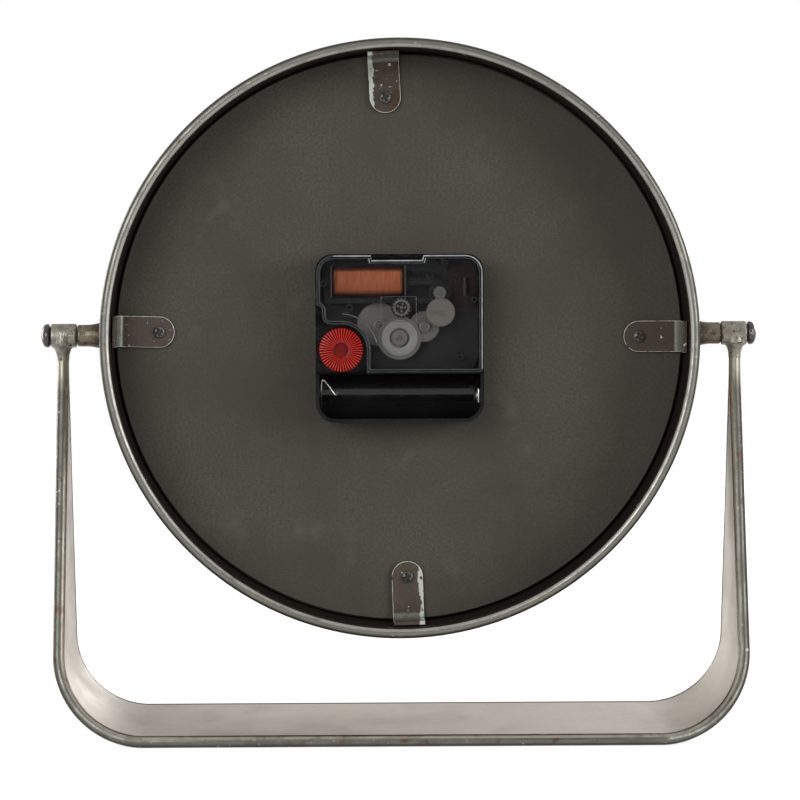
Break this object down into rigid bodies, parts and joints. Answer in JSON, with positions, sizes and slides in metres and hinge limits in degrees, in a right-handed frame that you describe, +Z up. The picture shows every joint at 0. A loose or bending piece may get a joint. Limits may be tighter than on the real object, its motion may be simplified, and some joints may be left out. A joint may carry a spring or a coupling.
{
  "type": "table clock",
  "caption": "Round metal table clock that tilts between the arms of a U-shaped stand, with dial, hands, glass and a quartz movement on its back board.",
  "frame": {"origin": "middle of the stand's footprint, on the surface it stands on", "axes": "+Z up, the dial faces -Y, the back board faces +Y, and the tilt axis lies along X"},
  "size_m": [0.2402, 0.098, 0.2317],
  "materials": {
    "aged_steel": "grey zinc wash with darker mottling",
    "wired_edge": "dark worn rolled edge, bare on its highlights",
    "pivot_steel": "aged, with pits and brown stains",
    "painted_clip": "dark brown paint, chipped to bare metal at its edges",
    "black_screw": "black oxide",
    "fibre_board": "dark charcoal fibre board, matt",
    "lens_glass": "clear float glass",
    "dial_print": "cream print, matt",
    "black_paint": "satin black",
    "brass": "turned",
    "black_plastic": "gloss black moulding",
    "smoked_plastic": "smoky clear moulding",
    "white_plastic": "milky moulding",
    "red_plastic": "red moulding",
    "copper": "enamelled copper wire",
    "bobbin_plastic": "moulded",
    "plated_steel": "bright nickel plate",
    "board_laminate": "brown laminate"
  },
  "bodies": {
    "stand": {"stand_strip": "aged_steel", "stand_edge_rear": "wired_edge", "stand_edge_front": "wired_edge", "eye_left": "pivot_steel", "eye_right": "pivot_steel"},
    "case": {"boss_left": "pivot_steel", "boss_right": "pivot_steel", "pivot_pin_left": "pivot_steel", "pivot_pin_right": "pivot_steel", "case_band": "aged_steel", "rear_rim": "wired_edge", "front_rim": "wired_edge", "lens": "lens_glass", "lens_spacer": "black_paint", "dial": "dial_print", "back_board": "fibre_board", "clip_top": "painted_clip", "clip_bottom": "painted_clip", "clip_left": "painted_clip", "clip_right": "painted_clip", "clip_screw_top": "black_screw", "clip_screw_bottom": "black_screw", "clip_screw_left": "black_screw", "clip_screw_right": "black_screw", "neck_nut": "brass", "neck_washer": "brass", "movement_case": "black_plastic", "movement_cover": "smoked_plastic", "train_plate": "black_plastic", "coil_winding": "copper", "coil_bobbin": "bobbin_plastic", "stator": "plated_steel", "circuit_board": "board_laminate", "quartz_can": "plated_steel", "contact_positive": "plated_steel", "contact_negative": "plated_steel"},
    "seconds": {"seconds_wheel": "white_plastic", "second_hand": "black_paint"},
    "rotor": {"rotor": "white_plastic"},
    "first_wheel": {"first_wheel": "white_plastic"},
    "step_wheel": {"step_wheel": "white_plastic"},
    "third_wheel": {"third_wheel": "white_plastic"},
    "centre_wheel": {"centre_wheel": "white_plastic"},
    "minute": {"cannon_pinion": "white_plastic", "minute_hand": "black_paint"},
    "minute_work": {"minute_work_wheel": "white_plastic"},
    "hour": {"hour_wheel": "white_plastic", "hour_hand": "black_paint"},
    "setting": {"setting_wheel": "white_plastic", "setting_knob": "red_plastic"}
  },
  "joints": [
    {"name": "case_tilt", "type": "hinge", "parent": "stand", "child": "case", "pos_m": [0, 0, 0.1333], "axis": [1, 0, 0], "continuous": true},
    {"name": "second_turn", "type": "hinge", "parent": "case", "child": "seconds", "pos_m": [0, 0.01, 0.1323], "axis": [0, 1, 0], "continuous": true},
    {"name": "rotor_turn", "type": "hinge", "parent": "case", "child": "rotor", "pos_m": [-0.0134, 0.01, 0.1473], "axis": [0, 1, 0], "continuous": true},
    {"name": "first_wheel_turn", "type": "hinge", "parent": "case", "child": "first_wheel", "pos_m": [-0.0137, 0.01, 0.14086], "axis": [0, 1, 0], "continuous": true},
    {"name": "step_wheel_turn", "type": "hinge", "parent": "case", "child": "step_wheel", "pos_m": [-0.0082, 0.01, 0.1361], "axis": [0, 1, 0], "continuous": true},
    {"name": "third_wheel_turn", "type": "hinge", "parent": "case", "child": "third_wheel", "pos_m": [0.0069, 0.01, 0.1368], "axis": [0, 1, 0], "continuous": true},
    {"name": "centre_wheel_turn", "type": "hinge", "parent": "case", "child": "centre_wheel", "pos_m": [0, 0.01, 0.1323], "axis": [0, 1, 0], "continuous": true},
    {"name": "minute_turn", "type": "hinge", "parent": "case", "child": "minute", "pos_m": [0, 0.01, 0.1323], "axis": [0, 1, 0], "continuous": true},
    {"name": "minute_work_turn", "type": "hinge", "parent": "case", "child": "minute_work", "pos_m": [0.00799, 0.01, 0.13183], "axis": [0, 1, 0], "continuous": true},
    {"name": "hour_turn", "type": "hinge", "parent": "case", "child": "hour", "pos_m": [0, 0.01, 0.1323], "axis": [0, 1, 0], "continuous": true},
    {"name": "setting_turn", "type": "hinge", "parent": "case", "child": "setting", "pos_m": [0.0195, 0.01, 0.12845], "axis": [0, 1, 0], "continuous": true}
  ],
  "couplings": [
    {"joint": "step_wheel_turn", "follows": "second_turn", "ratio": -4},
    {"joint": "first_wheel_turn", "follows": "second_turn", "ratio": 10},
    {"joint": "rotor_turn", "follows": "second_turn", "ratio": -30},
    {"joint": "third_wheel_turn", "follows": "second_turn", "ratio": -0.13333},
    {"joint": "centre_wheel_turn", "follows": "second_turn", "ratio": 0.016667},
    {"joint": "minute_work_turn", "follows": "minute_turn", "ratio": -0.33333},
    {"joint": "hour_turn", "follows": "minute_turn", "ratio": 0.083333},
    {"joint": "setting_turn", "follows": "minute_turn", "ratio": 0.33333}
  ]
}
